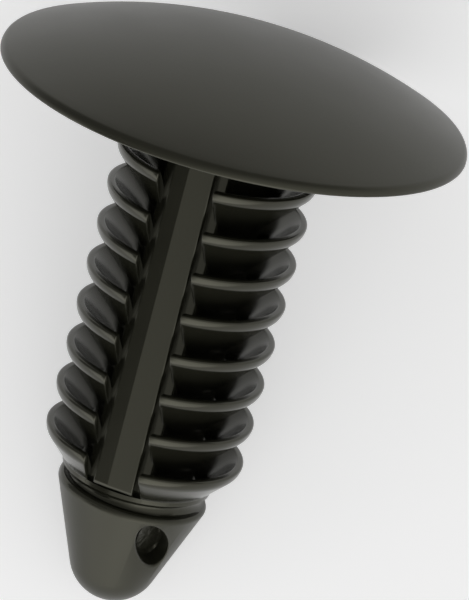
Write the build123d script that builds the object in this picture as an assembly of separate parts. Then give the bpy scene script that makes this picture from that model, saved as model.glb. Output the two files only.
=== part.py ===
from build123d import *
import os
from math import asin, atan2, cos, degrees, hypot, radians, sin, sqrt, tan

# Fir-tree push rivet, moulded in one piece of nylon. Lengths are in millimetres, angles in degrees.
# It is drawn upright: the axis is Z, the crown of the head points up, and z = 0 is the widest circle
# of the head. At the end it is laid down as it comes to rest, on the head's rim and the last barb.

# Head: a broad thin dome with an upright edge. Its underside is hollow inside a flat seating ring.
head_diameter = 18.0
head_rise = 2.1
head_edge_height = 0.30
head_bevel = 0.14
head_wall = 1.1
seat_width = 0.8
head_root_flare = 0.30

# Barbs: thin cups on a round core, open towards the head. Each nests in the mouth of the next.
core_diameter = 4.3
barb_count = 8
barb_diameter = 7.76
barb_pitch = 1.664
first_lip_drop = 2.67
lip_thickness = 0.26
lip_height = 0.32
lip_chamfer = 0.04
outer_wall_angle = 43.0
inner_wall_angle = 46.0
cup_floor_width = 0.12
barb_root_radius = 0.25

# Bar: a rib along each side of the core, standing on a broader base. A narrow slot on both sides of
# it reaches down to the base. The slots divide every barb into two halves that fold in separately.
bar_width = 1.60
bar_span = 5.94
bar_bevel = 0.07
bar_end_radius = 0.22
base_width = 2.50
base_span = 4.90
slot_width = 0.30

# Collar that ends the last barb, the neck below it, and the shoulder and nose that find the hole.
collar_drop = 1.34
collar_height = 0.18
shoulder_drop = 2.10
shoulder_diameter = 6.01
shoulder_bevel = 0.24
nose_length = 4.70
nose_half_angle = 20.8

# Gate recess: the oval pocket in the nose where the runner was broken off below the surface.
gate_width = 1.30
gate_height = 2.00
gate_depth = 0.60
gate_drop = 1.32
gate_bearing = 48.0

# Radii, and the heights of the main levels on the upright rivet.
head_radius = head_diameter / 2
core_radius = core_diameter / 2
barb_radius = barb_diameter / 2
shoulder_radius = shoulder_diameter / 2
seat_z = -head_edge_height
hollow_z = head_rise - head_wall
lip_levels = [-first_lip_drop - step * barb_pitch for step in range(barb_count)]
shoulder_z = lip_levels[-1] - shoulder_drop
collar_z = lip_levels[-1] - collar_drop
neck_z = collar_z - collar_height
tip_z = shoulder_z - nose_length
slot_offset = bar_width / 2 + slot_width

# The nose's ball end touches its cone and the tip level.
outer_slope = tan(radians(outer_wall_angle))
inner_slope = tan(radians(inner_wall_angle))
nose_angle = radians(nose_half_angle)
ball_radius = (shoulder_radius - nose_length * tan(nose_angle)) * cos(nose_angle) / (1 - sin(nose_angle))
ball_z = tip_z + ball_radius


def ring_edges(body, points):
    """Circular edges of the turned body that pass nearest to the given points."""
    rings = body.edges().filter_by(GeomType.CIRCLE)
    return [rings.sort_by_distance(point)[0] for point in points]


def cap_sphere(crown_z, width, drop):
    """Sphere with its crown on the axis, whose cap has the given half width and height."""
    radius = (width**2 + drop**2) / (2 * drop)
    return Pos(0, 0, crown_z - radius) * Rot(0, 90, 0) * Sphere(radius)


def head():
    """Head: a disc domed by one large sphere, bevelled around its edge and hollowed by another."""
    rim_slope = 2 * atan2(head_rise, head_radius)
    bevel_run = head_bevel * cos(rim_slope)
    bevel_rise = head_bevel * (1 + sin(rim_slope))
    blank_top = 2 * head_rise
    blank_top_radius = head_radius - (blank_top + head_bevel) * bevel_run / bevel_rise
    blank = Polygon(
        (0, seat_z),
        (head_radius, seat_z),
        (head_radius, -head_bevel),
        (blank_top_radius, blank_top),
        (0, blank_top),
        align=None,
    )
    dome = cap_sphere(head_rise, head_radius, head_rise)
    hollow = cap_sphere(hollow_z, head_radius - seat_width, hollow_z - seat_z)
    return (revolve(Plane.XZ * blank, Axis.Z) & dome) - hollow


def core_section():
    """Half section of the core, from the shoulder up to where it flares out into the head."""
    return Polygon(
        (0, shoulder_z),
        (core_radius, shoulder_z),
        (core_radius, hollow_z - head_root_flare),
        (core_radius + 2 * head_root_flare, hollow_z + head_root_flare),
        (0, hollow_z + head_root_flare),
        align=None,
    )


def barb_section(lip_z):
    """Half section of one cup: its lip, and an outer and an inner wall that slope in to the core."""
    inner_mouth = barb_radius - lip_thickness
    floor_radius = core_radius + cup_floor_width
    floor_z = lip_z - (inner_mouth - floor_radius) / inner_slope
    return Polygon(
        (floor_radius, floor_z),
        (0, floor_z),
        (0, lip_z - lip_height - barb_radius / outer_slope),
        (barb_radius, lip_z - lip_height),
        (barb_radius, lip_z - lip_chamfer),
        (barb_radius - lip_chamfer, lip_z),
        (inner_mouth, lip_z),
        align=None,
    )


def collar_section():
    """Half section of the collar. It is as wide as the last barb's outer wall where they meet."""
    wall_drop = lip_levels[-1] - lip_height - collar_z
    collar = Rectangle(barb_radius - wall_drop * outer_slope, collar_height, align=(Align.MIN, Align.MAX))
    return Pos(0, collar_z) * collar


def neck_groove():
    """Half section of the groove around the neck, between the collar and the shoulder."""
    groove = Rectangle(barb_radius, neck_z - shoulder_z, align=(Align.MIN, Align.MIN))
    return Pos(core_radius, shoulder_z) * groove


def nose_section():
    """Half section of the nose: a cone below the bevelled shoulder that runs into a ball end."""
    bevel_start = (shoulder_radius - shoulder_bevel, shoulder_z)
    bevel_end = (
        shoulder_radius - shoulder_bevel * sin(nose_angle),
        shoulder_z - shoulder_bevel * cos(nose_angle),
    )
    bevel_middle = (
        (bevel_start[0] + bevel_end[0]) / 4 + shoulder_radius / 2,
        (bevel_start[1] + bevel_end[1]) / 4 + shoulder_z / 2,
    )
    tangent = (ball_radius * cos(nose_angle), ball_z - ball_radius * sin(nose_angle))
    middle_angle = (nose_angle + radians(90)) / 2
    middle = (ball_radius * cos(middle_angle), ball_z - ball_radius * sin(middle_angle))
    shoulder = Polyline((0, tip_z), (0, shoulder_z), bevel_start, bevel_middle, bevel_end, tangent)
    ball_end = ThreePointArc(tangent, middle, (0, tip_z))
    return make_face([shoulder, ball_end])


def turned_body():
    """The rivet before it is slotted, all of it turned about the axis."""
    section = core_section() + collar_section()
    for lip_z in lip_levels:
        section += barb_section(lip_z)
    section = section - neck_groove() + nose_section()
    shank = revolve(Plane.XZ * section, Axis.Z)

    # The outer walls of the barbs run into the core with a fillet.
    wall_drop = lip_height + (barb_radius - core_radius) / outer_slope
    barb_roots = [(core_radius, 0, lip_z - wall_drop) for lip_z in lip_levels[:-1]]
    return head() + fillet(ring_edges(shank, barb_roots), barb_root_radius)


def slots():
    """Space cleared right through the barbs, for the bar, its base and the slots beside it."""
    base = (Align.CENTER, Align.CENTER, Align.MIN)
    length = lip_levels[0] + barb_pitch / 2 - collar_z
    return Pos(0, 0, collar_z) * Box(2 * barb_diameter, 2 * slot_offset, length, align=base)


def bar():
    """Rib on both sides of the core and its base, from inside the head down to the collar."""
    base = (Align.CENTER, Align.CENTER, Align.MIN)
    foot = Pos(0, 0, neck_z) * Box(base_span, base_width, hollow_z - neck_z, align=base)
    rib = Pos(0, 0, collar_z) * Box(bar_span, bar_width, hollow_z - collar_z, align=base)
    rib = fillet(rib.edges().filter_by(Axis.Y).group_by(Axis.Z)[0], bar_end_radius)
    return foot + chamfer(rib.edges().filter_by(Axis.Z), bar_bevel)


def gate_recess():
    """Cutter for the gate recess: an oval sunk square into the cone of the nose."""
    bearing = radians(gate_bearing)
    radius = shoulder_radius - gate_drop * tan(nose_angle)
    centre = Vector(radius * cos(bearing), radius * sin(bearing), shoulder_z - gate_drop)
    outward = Vector(cos(nose_angle) * cos(bearing), cos(nose_angle) * sin(bearing), -sin(nose_angle))
    around = Vector(-sin(bearing), cos(bearing), 0)
    floor = Plane(origin=centre - outward * gate_depth, x_dir=around, z_dir=outward)
    return extrude(floor * Ellipse(gate_width / 2, gate_height / 2), 2 * gate_depth)


def rest_tilt():
    """Slope of the axis when the rivet lies on its head's rim and on whatever meets the ground first."""
    lip_reach = sqrt(barb_radius**2 - slot_offset**2)
    lip_drop = seat_z - lip_levels[-1] + lip_height
    ball_drop = seat_z - ball_z
    on_last_barb = atan2(head_radius - lip_reach, lip_drop)
    on_shoulder = atan2(head_radius - shoulder_radius, seat_z - shoulder_z)
    on_nose = atan2(head_radius, ball_drop) - asin(ball_radius / hypot(head_radius, ball_drop))
    return degrees(min(on_last_barb, on_shoulder, on_nose))


def lay_down(upright):
    """Lay the rivet at rest: bar upright, nose towards +X, origin under the middle of its box."""
    laid = Rot(0, rest_tilt() - 90, 0) * upright
    box = laid.bounding_box()
    return Pos(-box.center().X, 0, -box.min.Z) * laid


push_rivet = lay_down(turned_body() - slots() + bar() - gate_recess())

os.makedirs("parts", exist_ok=True)
export_step(push_rivet, "parts/push_rivet.step")
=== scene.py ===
from math import asin, copysign, cos, hypot, pi, radians, sin, sqrt, tan

import bmesh
import bpy
from mathutils import Matrix, Vector, noise


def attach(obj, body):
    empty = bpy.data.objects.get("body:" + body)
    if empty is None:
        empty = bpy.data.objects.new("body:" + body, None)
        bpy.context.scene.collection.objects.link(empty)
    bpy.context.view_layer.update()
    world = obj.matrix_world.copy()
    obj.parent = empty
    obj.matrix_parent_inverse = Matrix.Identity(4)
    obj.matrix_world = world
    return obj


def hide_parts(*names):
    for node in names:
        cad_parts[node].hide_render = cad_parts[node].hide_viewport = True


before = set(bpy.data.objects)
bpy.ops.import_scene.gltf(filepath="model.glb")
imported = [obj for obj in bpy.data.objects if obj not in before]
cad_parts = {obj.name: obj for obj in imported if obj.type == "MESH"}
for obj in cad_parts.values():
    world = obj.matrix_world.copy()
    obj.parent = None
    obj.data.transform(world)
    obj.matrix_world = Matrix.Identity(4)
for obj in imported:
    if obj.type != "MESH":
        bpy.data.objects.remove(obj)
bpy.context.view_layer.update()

scene = bpy.context.scene
scene.view_settings.view_transform = "Standard"


# ---------------------------------------------------------------- head
# Broad thin dome with a rounded rim, hollow underneath inside a flat seating ring. The rivet is one
# moulding, so this and the next sections only make closed shells, which are fused further down.
# Shells are drawn upright in millimetres: z is the axis, and z = 0 the widest circle of the head.

head_radius = 8.995
head_rise = 2.088
head_edge_height = 0.30
head_wall = 1.1
rim_radius = 0.34
seat_width = 0.8
seat_edge_radius = 0.06
head_steps = 224


def add_shell(name, loops):
    """Closed shell through loops of points. It ends in a flat face, or in a fan where a loop is
    one point."""
    points = [point for loop in loops for point in loop]
    faces = []
    start = 0
    for lower, upper in zip(loops, loops[1:]):
        following = start + len(lower)
        count = max(len(lower), len(upper))
        for i in range(count):
            j = (i + 1) % count
            below = [start + i, start + j] if len(lower) > 1 else [start]
            above = [following + j, following + i] if len(upper) > 1 else [following]
            faces.append(below + above)
        start = following
    if len(loops[0]) > 1:
        faces.append(list(range(len(loops[0]))))
    if len(loops[-1]) > 1:
        faces.append(list(range(start, len(points))))
    mesh = bpy.data.meshes.new(name)
    mesh.from_pydata(points, [], faces)
    edit = bmesh.new()
    edit.from_mesh(mesh)
    bmesh.ops.recalc_face_normals(edit, faces=edit.faces)
    edit.to_mesh(mesh)
    edit.free()
    shell = bpy.data.objects.new(name, mesh)
    scene.collection.objects.link(shell)
    return shell


def add_turned(name, profile, count):
    """Closed shell turned from a profile of (radius, height) that starts and ends on the axis."""
    turns = [2 * pi * i / count for i in range(count)]
    return add_shell(name, [
        [(r * cos(a), r * sin(a), z) for a in turns] if r > 0 else [(0, 0, z)] for r, z in profile
    ])


def arc(centre_x, centre_y, radius, start, end, steps):
    """Points along an arc between two angles in radians."""
    angles = [start + (end - start) * i / steps for i in range(steps + 1)]
    return [(centre_x + radius * cos(a), centre_y + radius * sin(a)) for a in angles]


def round_corners(corners, steps=4, closed=True):
    """Outline through corners of (x, y, radius), each rounded by an arc. Long straight runs get a
    point near each end, so that the rounding doesn't bend the shading of the flat beside it."""
    rounded = []
    for i, (x, y, radius) in enumerate(corners):
        if radius == 0:
            rounded.append((x, y))
            continue
        here = Vector((x, y))
        to_last = (Vector(corners[i - 1][:2]) - here).normalized()
        to_next = (Vector(corners[(i + 1) % len(corners)][:2]) - here).normalized()
        half_angle = to_last.angle(to_next) / 2
        centre = here + (to_last + to_next).normalized() * radius / sin(half_angle)
        first = here + to_last * radius / tan(half_angle) - centre
        turned = (here + to_next * radius / tan(half_angle) - centre).angle_signed(first)
        for step in range(steps + 1):
            angle = turned * step / steps
            rounded.append(tuple(centre + Matrix.Rotation(angle, 2) @ first))
    if closed:
        rounded.append(rounded[0])
    outline = []
    from_end = 0.05
    for (x, y), (next_x, next_y) in zip(rounded, rounded[1:]):
        outline.append((x, y))
        length = hypot(next_x - x, next_y - y)
        if length > 5 * from_end:
            for share in (from_end / length, 1 - from_end / length):
                outline.append((x + (next_x - x) * share, y + (next_y - y) * share))
    return outline if closed else outline + rounded[-1:]


# The dome is part of a large sphere, and the rim a small arc between it and the upright edge. The
# hollow is part of another sphere, inside the seating ring.
seat_z = -head_edge_height
dome_radius = (head_radius**2 + head_rise**2) / (2 * head_rise)
dome_z = head_rise - dome_radius
rim_z = dome_z + sqrt((dome_radius - rim_radius) ** 2 - (head_radius - rim_radius) ** 2)
rim_start = pi / 2 - asin((head_radius - rim_radius) / (dome_radius - rim_radius))
hollow_z = head_rise - head_wall
hollow_width = head_radius - seat_width
hollow_radius = (hollow_width**2 + (hollow_z - seat_z) ** 2) / (2 * (hollow_z - seat_z))
hollow_end = pi / 2 - asin(hollow_width / hollow_radius)

# Two points near the ring's inner edge keep its shading flat.
seat_inner_edge = [(hollow_width + 0.1, seat_z), (hollow_width + 0.02, seat_z)]
seat_outer_edge = arc(
    head_radius - seat_edge_radius, seat_z + seat_edge_radius, seat_edge_radius,
    0, -pi / 2, steps=3,
)
head_profile = (
    [(0, head_rise)]
    + arc(0, dome_z, dome_radius, pi / 2, rim_start, steps=30)[1:-1]
    + arc(head_radius - rim_radius, rim_z, rim_radius, rim_start, 0, steps=8)
    + seat_outer_edge
    + seat_inner_edge
    + arc(0, hollow_z - hollow_radius, hollow_radius, hollow_end, pi / 2, steps=16)[:-1]
    + [(0, hollow_z)]
)
head = add_turned("head", head_profile, head_steps)
added = []


# ---------------------------------------------------------------- core, base and bars
# Round core that flares into the head. A flat base runs along both sides of it, and a narrower bar
# stands on each base. The mould's halves part along the bar's face, and their draft leaves a low
# ridge there.

core_radius = 2.15
core_foot_z = -16.6
core_steps = 112
root_flare = 0.30
root_radius = 0.45
bar_reach = 2.97
bar_half_width = 0.80
bar_ridge_height = 0.04
bar_ridge_offset = -0.20
bar_edge_radius = 0.05
bar_end_radius = 0.22
bar_end_steps = 5
bar_end_z = -15.658
base_reach = 2.45
base_half_width = 1.25
base_edge_radius = 0.05
base_end_z = -15.83
in_head_z = hollow_z + 0.15

core_profile = round_corners([
    (0, core_foot_z, 0),
    (core_radius, core_foot_z, 0),
    (core_radius, hollow_z - root_flare, root_radius),
    (core_radius + 2 * root_flare, hollow_z + root_flare, 0),
    (0, hollow_z + root_flare, 0),
], closed=False)
added.append(add_turned("core", core_profile, core_steps))


def bar_outline(inset):
    """Section across the core through both bars, with the ridged faces drawn in by the inset. The
    points near a plane's ends keep its shading flat."""
    edge_x = bar_reach - bar_ridge_height - inset
    edge_y = bar_half_width - bar_edge_radius
    up_to_ridge = (0.06, 0.5, 0.97, 1)
    narrow_plane = [
        (edge_x + bar_ridge_height * share, -edge_y + (bar_ridge_offset + edge_y) * share)
        for share in up_to_ridge
    ]
    wide_plane = [
        (edge_x + bar_ridge_height * share, edge_y + (bar_ridge_offset - edge_y) * share)
        for share in up_to_ridge[-2::-1]
    ]
    face = (
        arc(edge_x - bar_edge_radius, -edge_y, bar_edge_radius, -pi / 2, 0, steps=4)
        + narrow_plane
        + wide_plane
        + arc(edge_x - bar_edge_radius, edge_y, bar_edge_radius, 0, pi / 2, steps=4)
    )
    return face + [(-x, -y) for x, y in face]


bar_loops = []
for step in range(bar_end_steps + 1):
    angle = pi / 2 * step / bar_end_steps
    end_z = bar_end_z + bar_end_radius * (1 - cos(angle))
    bar_loops.append([(x, y, end_z) for x, y in bar_outline(bar_end_radius * (1 - sin(angle)))])
bar_loops.append([(x, y, in_head_z) for x, y in bar_outline(0)])
added.append(add_shell("bar", bar_loops))

base_outline = round_corners([
    (base_reach, -base_half_width, base_edge_radius),
    (base_reach, base_half_width, base_edge_radius),
    (-base_reach, base_half_width, base_edge_radius),
    (-base_reach, -base_half_width, base_edge_radius),
])
base_loops = [[(x, y, z) for x, y in base_outline] for z in (base_end_z, in_head_z)]
added.append(add_shell("base", base_loops))


# ---------------------------------------------------------------- barbs
# Eight thin cups, each open towards the head and nested in the mouth of the next. The slots beside
# the bars cut every cup into two halves, whose cut edges are softly rounded like the lips. The last
# cup runs down into the collar.

barb_count = 8
barb_radius = 3.88
barb_pitch = 1.664
first_lip_drop = 2.67
lip_thickness = 0.26
lip_height = 0.32
lip_outer_radius = 0.10
lip_inner_radius = 0.07
lip_foot_radius = 0.55
outer_slope = tan(radians(43.0))
inner_slope = tan(radians(46.0))
cup_floor_radius = 2.27
cup_floor_corner = 0.05
barb_root_radius = 0.25
slot_offset = 1.10
cut_edge_radius = 0.07
cut_edge_steps = 4
half_turn_steps = 52
collar_radius = 2.929
collar_edge_radius = 0.05
collar_z = -15.658
neck_z = -15.838

# How deep a half cup reaches into the core, how far it runs on below its root, and how far apart
# two shells stay whose surfaces would otherwise coincide, so that they fuse cleanly.
depth_in_core = 0.35
below_root = 0.12
skin = 0.004


def drawn_in(outline, distance):
    """Closed outline moved inwards by a distance."""
    ring = list(zip(outline[-1:] + outline[:-1], outline, outline[1:] + outline[:1]))
    area = sum(x * next_y - next_x * y for _, (x, y), (next_x, next_y) in ring)
    sharpest = 0.5
    moved = []
    for last, here, following in ring:
        runs = (Vector(here) - Vector(last), Vector(following) - Vector(here))
        inwards = [Vector((-run.y, run.x)).normalized() * copysign(1, area) for run in runs]
        middle = (inwards[0] + inwards[1]).normalized()
        step = middle * distance / max(sharpest, middle.dot(inwards[0]))
        moved.append(tuple(Vector(here) + step))
    return moved


def add_half_barb(name, outline, side):
    """Half cup swept round the axis from one slot to the other, with rounded cut edges."""
    loops = []
    for step in range(cut_edge_steps + 1):
        angle = pi / 2 * step / cut_edge_steps
        y = slot_offset + cut_edge_radius * (1 - cos(angle))
        ring = drawn_in(outline, cut_edge_radius * (1 - sin(angle)))
        loops.append([(sqrt(r * r - y * y), side * y, z) for r, z in ring])
    other_edge = [[(-x, y, z) for x, y, z in loop] for loop in reversed(loops)]
    for step in range(1, half_turn_steps):
        loop = []
        for r, z in outline:
            start = asin((slot_offset + cut_edge_radius) / r)
            angle = start + (pi - 2 * start) * step / half_turn_steps
            loop.append((r * cos(angle), side * r * sin(angle), z))
        loops.append(loop)
    return add_shell(name, loops + other_edge)


mouth_radius = barb_radius - lip_thickness
buried_radius = core_radius - depth_in_core
lip_levels = [-first_lip_drop - step * barb_pitch for step in range(barb_count)]

for number, lip_z in enumerate(lip_levels, 1):
    floor_z = lip_z - (mouth_radius - cup_floor_radius) / inner_slope
    root_z = lip_z - lip_height - (barb_radius - core_radius) / outer_slope
    corners = [
        (barb_radius, lip_z - lip_height, lip_foot_radius),
        (barb_radius, lip_z, lip_outer_radius),
        (mouth_radius, lip_z, lip_inner_radius),
        (cup_floor_radius, floor_z, cup_floor_corner),
        (buried_radius, floor_z, 0),
    ]
    if number < barb_count:
        corners += [
            (buried_radius, root_z - below_root, 0),
            (core_radius - skin, root_z - below_root, 0),
            (core_radius - skin, root_z, barb_root_radius),
        ]
    else:
        corners += [
            (buried_radius, neck_z, 0),
            (collar_radius, neck_z, collar_edge_radius),
            (collar_radius, collar_z, collar_edge_radius),
        ]
    for side, letter in ((1, "a"), (-1, "b")):
        added.append(add_half_barb(f"barb_{number}{letter}", round_corners(corners), side))


# ---------------------------------------------------------------- collar, neck and nose
# The collar under the last barb closes the slots. Below it are the neck, a shallow round groove,
# the shoulder that stops in the panel, and the nose, a cone with a ball end that finds the hole.

neck_reach = 2.84
neck_overlap = 0.1
neck_steps = 160
shoulder_z = -16.418
shoulder_radius = 3.005
shoulder_edge_radius = 0.17
shoulder_lean = 0.20
lean_bearing = radians(-75.7)
lean_reach = 0.9
nose_length = 4.695
nose_angle = radians(20.8)
nose_steps = 200

collar_face = collar_radius - skin
collar_profile = [
    (0, neck_z + skin),
    (collar_face, neck_z + skin),
    (collar_face, collar_z),
    (0, collar_z),
]
added.append(add_turned("collar", collar_profile, neck_steps))

groove_radius = (neck_z - shoulder_z) / 2
groove = arc(neck_reach, neck_z - groove_radius, groove_radius, pi / 2, 3 * pi / 2, steps=10)
neck_profile = (
    [(0, neck_z + neck_overlap), (neck_reach, neck_z + neck_overlap)]
    + groove
    + [(neck_reach, shoulder_z - neck_overlap), (0, shoulder_z - neck_overlap)]
)
added.append(add_turned("neck", neck_profile, neck_steps))

# The ball end touches its cone and the tip level.
cone_narrowing = nose_length * tan(nose_angle)
ball_radius = (shoulder_radius - cone_narrowing) * cos(nose_angle) / (1 - sin(nose_angle))
tip_z = shoulder_z - nose_length
ball_z = tip_z + ball_radius
shoulder_and_cone = round_corners([
    (0, shoulder_z, 0),
    (shoulder_radius, shoulder_z, shoulder_edge_radius),
    (ball_radius * cos(nose_angle), ball_z - ball_radius * sin(nose_angle), 0),
], steps=6, closed=False)
ball_end = arc(0, ball_z, ball_radius, -nose_angle, -pi / 2, steps=20)[1:-1]
nose = add_turned("nose", shoulder_and_cone + ball_end + [(0, tip_z)], nose_steps)
added.append(nose)

# The shoulder sits a little higher on one side, where the mould's halves meet slightly askew.
for vertex in nose.data.vertices:
    x, y, z = vertex.co
    towards = (1 + (x * cos(lean_bearing) + y * sin(lean_bearing)) / shoulder_radius) / 2
    vertex.co.z += shoulder_lean * towards * max(0, 1 - (shoulder_z - z) / lean_reach) ** 2


# ---------------------------------------------------------------- gate recess
# Oval pocket, a little askew on the nose, where the runner was snapped off below the surface. Its
# mouth is rounded, and the torn stub of nylon leaves a rough floor that falls away to one side.

gate_half_width = 0.60
gate_half_height = 1.24
gate_drop = 1.38
gate_bearing = radians(48.0)
gate_twist = radians(33.0)
gate_depth = 0.66
gate_floor_slope = 0.40
gate_roughness = 0.035
lumps_per_mm = 4
fine_lumps_per_mm = 9
gate_mouth_radius = 0.10
gate_mouth_spread = 0.14
gate_mouth_turn = radians(68)
gate_mouth_steps = 7
gate_points = 72

gate_radius = shoulder_radius - gate_drop * tan(nose_angle)
gate_centre = Vector((
    gate_radius * cos(gate_bearing),
    gate_radius * sin(gate_bearing),
    shoulder_z - gate_drop,
))
outward = Vector((
    cos(nose_angle) * cos(gate_bearing),
    cos(nose_angle) * sin(gate_bearing),
    -sin(nose_angle),
))
around = Vector((-sin(gate_bearing), cos(gate_bearing), 0))
uphill = outward.cross(around)


def gate_oval(half_width, half_height):
    """Points of the askew oval, as distances round the nose and up its flank, with their angles."""
    oval = []
    for i in range(gate_points):
        angle = 2 * pi * i / gate_points
        point = Vector((half_width * cos(angle), half_height * sin(angle)))
        point = Matrix.Rotation(gate_twist, 2) @ point
        oval.append((point.x, point.y, angle))
    return oval


def gate_floor(share, depth):
    """One oval of the torn floor, at a share of the recess's size and a depth below the flat."""
    loop = []
    for a, b, _ in gate_oval(gate_half_width * share, gate_half_height * share):
        lumps = noise.noise(Vector((a, b, 0.5)) * lumps_per_mm)
        fine_lumps = noise.noise(Vector((a, b, 2)) * fine_lumps_per_mm) / 2
        fall = depth + (lumps + fine_lumps) * gate_roughness + a * gate_floor_slope
        loop.append(gate_centre + around * a + uphill * b - outward * fall)
    return loop


def gate_mouth(turned, rise=0, widening=0):
    """One oval of the mouth, where its wall has turned outwards by an angle, or one above the cone.
    The mouth is rounder on the side that faces the bar, and all of it follows the cone."""
    loop = []
    for a, b, angle in gate_oval(gate_half_width, gate_half_height):
        radius = gate_mouth_radius + gate_mouth_spread * (1 - cos(angle + gate_twist)) / 2
        wider = 1 + (radius * (1 - cos(turned)) + widening) / hypot(a, b)
        a, b = a * wider, b * wider
        bend = (gate_radius + b * sin(nose_angle)) / cos(nose_angle)
        depth = radius * (sin(gate_mouth_turn) - sin(turned)) + bend - sqrt(bend * bend - a * a)
        loop.append(gate_centre + around * a + uphill * b + outward * (rise - depth))
    return loop


# From the middle of the floor to its edge, which turns up into the wall, then up through the mouth
# and out beyond the cone.
gate_loops = [[gate_centre - outward * gate_depth]]
for share, lift in (
    (0.12, 0), (0.25, 0), (0.4, 0), (0.55, 0), (0.7, 0), (0.82, 0), (0.93, 0.03), (1, 0.12),
):
    gate_loops.append(gate_floor(share, gate_depth - lift))
for step in range(gate_mouth_steps + 1):
    gate_loops.append(gate_mouth(gate_mouth_turn * step / gate_mouth_steps))
for rise in (0.08, 0.6):
    gate_loops.append(gate_mouth(gate_mouth_turn, rise, widening=0.2))
gate_recess = add_shell("gate_recess", gate_loops)


# ---------------------------------------------------------------- the moulding
# The shells fused into the one solid of black nylon that fills the mould, and cut by the gate
# recess. It is laid down as it comes to rest, on the rim of its head and the cut lip of its last
# barb.

sliver = 0.0002
sharpest_smooth_edge = radians(32)
tilt = radians(20.21350293991938)
head_centre = Vector((-8.351577300864896, 0, 8.54936038951196)) / 1000
nylon_dark = "#1a1a14"
nylon_light = "#1f1f18"
nylon_sheen = "#fffde4"

for shell in added + [gate_recess]:
    fuse = head.modifiers.new("fuse", "BOOLEAN")
    fuse.solver = "MANIFOLD"
    fuse.operation = "DIFFERENCE" if shell is gate_recess else "UNION"
    fuse.object = shell
bpy.context.view_layer.update()
fused_head = head.evaluated_get(bpy.context.evaluated_depsgraph_get())
moulding = bpy.data.meshes.new_from_object(fused_head)
moulding.name = "push_rivet_moulding"
for shell in [head, gate_recess] + added:
    mesh = shell.data
    bpy.data.objects.remove(shell)
    bpy.data.meshes.remove(mesh)

# Slivers left by the cuts are closed up.
edit = bmesh.new()
edit.from_mesh(moulding)
bmesh.ops.dissolve_degenerate(edit, edges=edit.edges, dist=sliver)
edit.to_mesh(moulding)
edit.free()

bar_normal = Vector((sin(tilt), 0, cos(tilt)))
across_bar = Vector((0, 1, 0))
crown = Vector((-cos(tilt), 0, sin(tilt)))
laid = Matrix((bar_normal, across_bar, crown)).transposed().to_4x4() @ Matrix.Scale(0.001, 4)
laid.translation = head_centre


def is_satin(face):
    """Whether a face of the upright moulding is on the head's outside or on the nose."""
    return face.center.z < shoulder_z or (face.center.z > rim_z and face.normal.z > 0)


satin_faces = [face.index for face in moulding.polygons if is_satin(face)]
moulding.transform(laid)
moulding.polygons.foreach_set("use_smooth", [True] * len(moulding.polygons))
moulding.set_sharp_from_angle(angle=sharpest_smooth_edge)


def linear(hex_colour):
    """sRGB hex colour as linear RGBA."""
    channels = [int(hex_colour[i:i + 2], 16) / 255 for i in (1, 3, 5)]
    return [c / 12.92 if c <= 0.04045 else ((c + 0.055) / 1.055) ** 2.4 for c in channels] + [1.0]


def add_node(tree, kind, settings=None, **links):
    """Adds a node. Settings are its own properties. Links feed or set its inputs, by name with _
    for a space, or by number after one _."""
    node = tree.nodes.new(kind)
    for name, value in (settings or {}).items():
        setattr(node, name, value)
    for name, value in links.items():
        by_number = name[0] == "_"
        socket = node.inputs[int(name[1:]) if by_number else name.replace("_", " ")]
        if isinstance(value, bpy.types.NodeSocket):
            tree.links.new(value, socket)
        else:
            socket.default_value = value
    return node


def add_nylon(name, smooth, rough, grain_strength):
    """Black nylon PA66 as moulded: a deep black with a warm olive cast, and a gloss between two
    roughnesses. Clouds 2.5 mm across show where the melt met cooler steel. The steel's grain of
    0.02 mm is drawn at 0.12 mm, so that it shows."""
    cloud_size = 0.0025
    grain_size = 0.00012
    grain_height = 0.00001
    nylon = bpy.data.materials.new(name)
    nylon.use_nodes = True
    tree = nylon.node_tree
    tree.nodes.clear()
    place = add_node(tree, "ShaderNodeTexCoord").outputs["Object"]
    clouds = add_node(
        tree, "ShaderNodeTexNoise", Vector=place, Scale=1 / cloud_size, Detail=3.0,
    ).outputs["Fac"]
    grain = add_node(
        tree, "ShaderNodeTexNoise", Vector=place, Scale=1 / grain_size, Detail=2.0,
    ).outputs["Fac"]
    tint = add_node(
        tree, "ShaderNodeMix", {"data_type": "RGBA"},
        _0=clouds, _6=linear(nylon_dark), _7=linear(nylon_light),
    ).outputs[2]
    gloss = add_node(
        tree, "ShaderNodeMapRange", Value=clouds, To_Min=smooth, To_Max=rough,
    ).outputs["Result"]
    bump = add_node(
        tree, "ShaderNodeBump", Height=grain, Strength=grain_strength, Distance=grain_height,
    ).outputs["Normal"]
    face = add_node(
        tree, "ShaderNodeBsdfPrincipled",
        Base_Color=tint, Roughness=gloss, IOR=1.50, Specular_Tint=linear(nylon_sheen), Normal=bump,
    ).outputs["BSDF"]
    add_node(tree, "ShaderNodeOutputMaterial", Surface=face)
    return nylon


# The shank comes out of polished steel and looks wet with gloss. The head's outside and the nose
# come out of blasted steel, and their highlights are broad and soft.
gloss_nylon = add_nylon(
    "moulded_nylon_pa66_black_gloss", smooth=0.15, rough=0.21, grain_strength=0.05,
)
satin_nylon = add_nylon(
    "moulded_nylon_pa66_black_satin", smooth=0.34, rough=0.40, grain_strength=0.15,
)
moulding.materials.clear()
moulding.materials.append(gloss_nylon)
moulding.materials.append(satin_nylon)
for index in satin_faces:
    moulding.polygons[index].material_index = 1

rivet = bpy.data.objects.new("push_rivet_moulding", moulding)
scene.collection.objects.link(rivet)
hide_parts("push_rivet")
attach(rivet, "root")


# ---------------------------------------------------------------- floor
# Plain matt white board that the rivet lies on. It is lifted towards white to the eye and in
# reflections, and keeps the rivet's shadow.

floor_half = 3.0
floor_lift = 0.36

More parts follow.
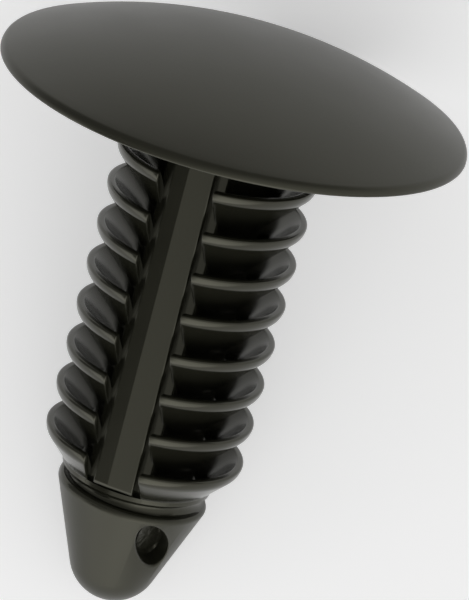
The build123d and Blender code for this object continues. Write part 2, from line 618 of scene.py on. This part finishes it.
floor_mesh = bpy.data.meshes.new("floor")
floor_corners = [(-1, -1), (1, -1), (1, 1), (-1, 1)]
floor_mesh.from_pydata(
    [(x * floor_half, y * floor_half, 0) for x, y in floor_corners], [], [(0, 1, 2, 3)],
)
floor = bpy.data.objects.new("floor", floor_mesh)
scene.collection.objects.link(floor)

board = bpy.data.materials.new("matt_white_board")
board.use_nodes = True
tree = board.node_tree
tree.nodes.clear()
path = add_node(tree, "ShaderNodeLightPath").outputs
seen = path["Is Camera Ray"]
for ray in ("Is Glossy Ray", "Is Transmission Ray"):
    seen = add_node(
        tree, "ShaderNodeMath", {"operation": "MAXIMUM"}, _0=seen, _1=path[ray],
    ).outputs[0]
lift = add_node(
    tree, "ShaderNodeMath", {"operation": "MULTIPLY"}, _0=seen, _1=floor_lift,
).outputs[0]
matt = add_node(tree, "ShaderNodeBsdfDiffuse", Color=linear("#f4f4f4")).outputs[0]
glow = add_node(
    tree, "ShaderNodeEmission", Color=linear("#ffffff"), Strength=lift,
).outputs[0]
both = add_node(tree, "ShaderNodeAddShader", _0=matt, _1=glow).outputs[0]
add_node(tree, "ShaderNodeOutputMaterial", Surface=both)
floor_mesh.materials.append(board)


# ---------------------------------------------------------------- camera
# Long lens, looking down on the rivet nearly square to its axis, with the head at the top left. The
# turn is round the rivet's axis from the bar, and the rise is towards the head.

turn = radians(14.3)
rise = radians(19.95)
roll = radians(14.86)
distance = 0.2043
aim_across = 0.001932
aim_along = 0.007484
sensor = 36
picture_height = 600
pixel_at_aim = 0.0000374362

level = bar_normal * cos(turn) + across_bar * sin(turn)
back = level * cos(rise) + crown * sin(rise)
across = crown.cross(level)
along = crown * cos(rise) - level * sin(rise)
right = across * cos(roll) + along * sin(roll)
up = along * cos(roll) - across * sin(roll)
placed = Matrix((right, up, back)).transposed().to_4x4()
placed.translation = head_centre + across * aim_across - along * aim_along + back * distance

camera = bpy.data.objects.new("camera", bpy.data.cameras.new("camera"))
scene.collection.objects.link(camera)
camera.matrix_world = placed
camera.data.lens = sensor * distance / (picture_height * pixel_at_aim)
camera.data.clip_start = 0.01
scene.camera = camera


# ---------------------------------------------------------------- lights
# Soft white tent with no lamps in it: brightest in front of the nose, less so beside the rivet and
# dim behind the head. A dark flag in it darkens the bar's narrow plane, and a thinner one its wide
# plane.

world = bpy.data.worlds.new("surround")
world.use_nodes = True
tree = world.node_tree
tree.nodes.clear()
seen_towards = add_node(tree, "ShaderNodeTexCoord").outputs["Generated"]


def add_zone(direction, from_angle, to_angle, outside, inside):
    """Soft-edged round zone of the surround: its strength outside one angle and inside another."""
    share = add_node(
        tree, "ShaderNodeVectorMath", {"operation": "DOT_PRODUCT"},
        _0=seen_towards, _1=Vector(direction).normalized(),
    ).outputs["Value"]
    return add_node(
        tree, "ShaderNodeMapRange", {"interpolation_type": "SMOOTHSTEP"},
        Value=share, From_Min=cos(radians(from_angle)), From_Max=cos(radians(to_angle)),
        To_Min=outside, To_Max=inside,
    ).outputs["Result"]


front = add_zone((0.95, -0.12, 0.0), from_angle=84, to_angle=26, outside=0.27, inside=1.85)
beside = add_zone((0.4, 0.85, 0.3), from_angle=73, to_angle=26, outside=0.0, inside=0.6)
flag = add_zone((0.584, -0.549, 0.598), from_angle=19, to_angle=15, outside=1.0, inside=0.10)
thin_flag = add_zone((0.64, -0.09, 0.76), from_angle=36, to_angle=14, outside=1.0, inside=0.48)
strength = add_node(tree, "ShaderNodeMath", {"operation": "ADD"}, _0=front, _1=beside).outputs[0]
for dimming in (flag, thin_flag):
    strength = add_node(
        tree, "ShaderNodeMath", {"operation": "MULTIPLY"}, _0=strength, _1=dimming,
    ).outputs[0]
tent = add_node(
    tree, "ShaderNodeBackground", Color=linear("#ffffff"), Strength=strength,
).outputs[0]
add_node(tree, "ShaderNodeOutputWorld", Surface=tent)
scene.world = world
